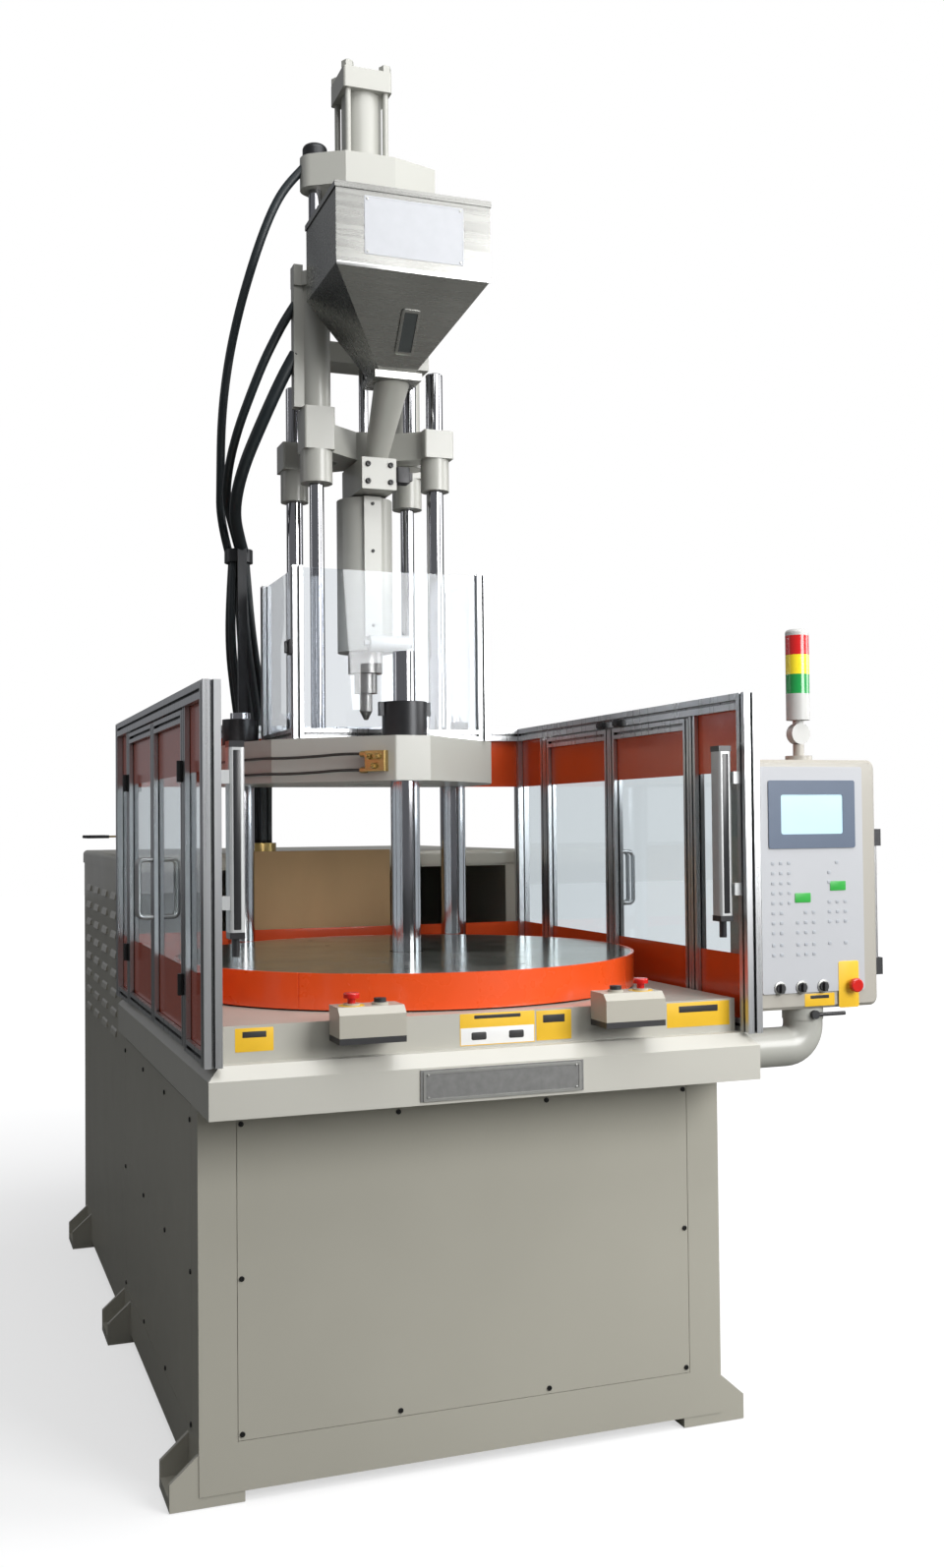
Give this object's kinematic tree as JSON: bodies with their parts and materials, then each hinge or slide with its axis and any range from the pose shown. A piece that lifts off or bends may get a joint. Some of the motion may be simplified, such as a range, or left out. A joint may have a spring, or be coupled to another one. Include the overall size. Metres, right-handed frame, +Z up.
{
  "type": "vertical rotary-table injection moulding machine",
  "caption": "Vertical injection moulding machine with a round two-station table, guard doors, hopper, operator panel and rear cabinet.",
  "frame": {"origin": "on the floor, at the centre of the four outer anchor holes of the feet", "axes": "+Z up; the operator's side is -Y, +X is to the operator's right"},
  "size_m": [1.836, 2.694, 3.809],
  "materials": {
    "body_paint": "satin",
    "profile": "satin",
    "orange_paint": "gloss",
    "clear_sheet": "clear",
    "table_steel": "ground",
    "chrome_rod": "polished",
    "dark_steel": "satin",
    "stainless": "satin",
    "panel_grey": "satin",
    "slate": "satin",
    "red_plastic": "gloss",
    "black_plastic": "satin",
    "lens": "gloss",
    "brass": "satin",
    "board": "matt",
    "hose_rubber": "satin"
  },
  "bodies": {
    "frame": {"base_frame": "body_paint", "tray": "body_paint", "bed": "body_paint", "covers": "body_paint", "rear_cabinet": "body_paint", "clamp_cylinder": "body_paint", "fence_frame": "profile", "fence_panels": "orange_paint", "fence_windows": "clear_sheet", "slewing_ring": "table_steel", "table_motor": "dark_steel", "panel_arm": "dark_steel", "button_boxes": "panel_grey", "light_curtains": "panel_grey", "lid_fittings": "brass", "rear_board": "board", "hose_loom": "hose_rubber"},
    "clamp": {"platen": "body_paint", "tie_bars": "chrome_rod", "tie_bar_nuts": "dark_steel", "crosshead": "body_paint", "clamp_ram": "chrome_rod", "seat_rods": "chrome_rod", "guard_frame": "profile", "guard_panels": "clear_sheet", "hose_stand": "dark_steel"},
    "injection": {"seat": "body_paint", "shift_cylinders": "body_paint", "columns": "chrome_rod", "top_plate": "body_paint", "injection_cylinder": "body_paint", "barrel": "dark_steel", "barrel_cover": "body_paint", "chute": "body_paint", "hopper": "stainless", "hose_top": "hose_rubber", "hose_middle": "hose_rubber", "hose_lower": "hose_rubber"},
    "carriage": {"screw_drive": "body_paint"},
    "screw": {"screw": "chrome_rod"},
    "lid": {"hopper_lid": "stainless"},
    "table": {"rotary_table": "table_steel", "table_rim": "orange_paint"},
    "panel": {"panel_housing": "panel_grey", "panel_face": "slate"},
    "tower": {"signal_tower": "panel_grey", "tower_lenses": "lens"},
    "panel_estop": {"panel_estop": "red_plastic"},
    "left_estop": {"left_estop": "red_plastic"},
    "right_estop": {"right_estop": "red_plastic"},
    "left_start_button": {"left_start_button": "black_plastic"},
    "right_start_button": {"right_start_button": "black_plastic"},
    "selector_knob_1": {"selector_knob_1": "black_plastic"},
    "selector_knob_2": {"selector_knob_2": "black_plastic"},
    "selector_knob_3": {"selector_knob_3": "black_plastic"},
    "clamp_lever": {"clamp_lever": "black_plastic"},
    "left_front_door": {"left_front_door": "profile"},
    "left_rear_door": {"left_rear_door": "profile"},
    "right_front_door": {"right_front_door": "profile"},
    "right_rear_door": {"right_rear_door": "profile"}
  },
  "joints": [
    {"name": "clamp_stroke", "type": "slide", "parent": "frame", "child": "clamp", "axis": [0, 0, 1], "range_m": [-0.25, 0], "deforming": ["hose_loom"]},
    {"name": "table_turn", "type": "hinge", "parent": "frame", "child": "table", "pos_m": [0, -0.675, 1.137], "axis": [0, 0, 1], "range_deg": [0, 180]},
    {"name": "right_front_door_swing", "type": "hinge", "parent": "frame", "child": "right_front_door", "pos_m": [0.686, -1.101, 1.4], "axis": [0, 0, -1], "range_deg": [0, 90]},
    {"name": "right_rear_door_swing", "type": "hinge", "parent": "frame", "child": "right_rear_door", "pos_m": [0.686, -0.127, 1.4], "axis": [0, 0, 1], "range_deg": [0, 90]},
    {"name": "left_front_door_swing", "type": "hinge", "parent": "frame", "child": "left_front_door", "pos_m": [-0.686, -1.101, 1.4], "axis": [0, 0, 1], "range_deg": [0, 90]},
    {"name": "left_rear_door_swing", "type": "hinge", "parent": "frame", "child": "left_rear_door", "pos_m": [-0.686, -0.127, 1.4], "axis": [0, 0, -1], "range_deg": [0, 90]},
    {"name": "nozzle_shift", "type": "slide", "parent": "clamp", "child": "injection", "axis": [0, 0, 1], "range_m": [-0.18, 0.05], "deforming": ["hose_top", "hose_middle", "hose_lower"]},
    {"name": "screw_feed", "type": "slide", "parent": "injection", "child": "carriage", "axis": [0, 0, 1], "range_m": [0, 0.16]},
    {"name": "screw_turn", "type": "hinge", "parent": "carriage", "child": "screw", "pos_m": [0, -0.295, 2.93], "axis": [0, 0, 1], "continuous": true},
    {"name": "hopper_lid_swing", "type": "hinge", "parent": "injection", "child": "lid", "pos_m": [0, -0.471, 3.226], "axis": [-1, 0, 0], "range_deg": [0, 95]},
    {"name": "panel_swivel", "type": "hinge", "parent": "frame", "child": "panel", "pos_m": [0.87, -1.28, 1.056], "axis": [0, 0, 1], "range_deg": [-30, 30]},
    {"name": "lever_turn", "type": "hinge", "parent": "frame", "child": "clamp_lever", "pos_m": [0.87, -1.338, 1.041], "axis": [0, 1, 0], "range_deg": [0, 90]},
    {"name": "tower_fold", "type": "hinge", "parent": "panel", "child": "tower", "pos_m": [0.87, -1.28, 1.755], "axis": [0, 1, 0], "range_deg": [0, 90]},
    {"name": "panel_estop_push", "type": "slide", "parent": "panel", "child": "panel_estop", "axis": [0, 1, 0], "range_m": [0, 0.006]},
    {"name": "left_estop_push", "type": "slide", "parent": "frame", "child": "left_estop", "axis": [0, 0, 1], "range_m": [-0.006, 0]},
    {"name": "right_estop_push", "type": "slide", "parent": "frame", "child": "right_estop", "axis": [0, 0, 1], "range_m": [-0.006, 0]},
    {"name": "left_start_push", "type": "slide", "parent": "frame", "child": "left_start_button", "axis": [0, 0, 1], "range_m": [-0.004, 0], "stiffness_N_per_m": 400, "springref_m": 0.001},
    {"name": "right_start_push", "type": "slide", "parent": "frame", "child": "right_start_button", "axis": [0, 0, 1], "range_m": [-0.004, 0], "stiffness_N_per_m": 400, "springref_m": 0.001},
    {"name": "knob_1_turn", "type": "hinge", "parent": "panel", "child": "selector_knob_1", "pos_m": [0.768, -1.339, 1.112], "axis": [0, 1, 0], "range_deg": [-45, 45]},
    {"name": "knob_2_turn", "type": "hinge", "parent": "panel", "child": "selector_knob_2", "pos_m": [0.831, -1.339, 1.112], "axis": [0, 1, 0], "range_deg": [-45, 45]},
    {"name": "knob_3_turn", "type": "hinge", "parent": "panel", "child": "selector_knob_3", "pos_m": [0.894, -1.339, 1.112], "axis": [0, 1, 0], "range_deg": [-45, 45]}
  ]
}
